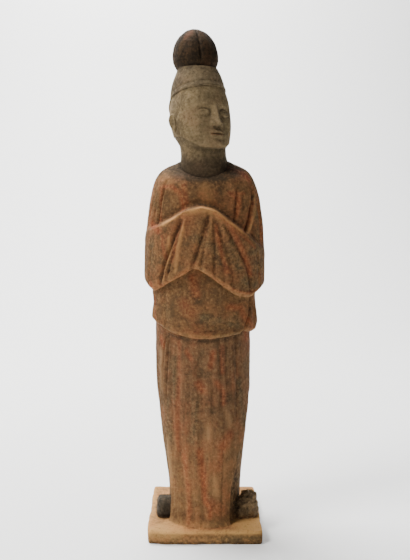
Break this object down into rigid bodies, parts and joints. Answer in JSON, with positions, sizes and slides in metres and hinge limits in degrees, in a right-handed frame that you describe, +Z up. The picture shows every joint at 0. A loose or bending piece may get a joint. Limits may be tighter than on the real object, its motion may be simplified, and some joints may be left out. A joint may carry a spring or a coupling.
{
  "type": "eunuch figure",
  "caption": "Standing tomb figure of a court eunuch in fired clay, hands joined in front under long sleeves, tall round-topped hat, thin square plinth.",
  "frame": {"origin": "centre of the plinth's underside", "axes": "+Z up from the plinth to the crown of the hat; the robe faces -Y, the head is turned towards +X"},
  "size_m": [0.1032, 0.094, 0.42],
  "materials": {
    "painted_clay": "matte unglazed earthenware with worn orange pigment and soil"
  },
  "bodies": {
    "root": {"eunuch_figure": "painted_clay"}
  },
  "joints": []
}
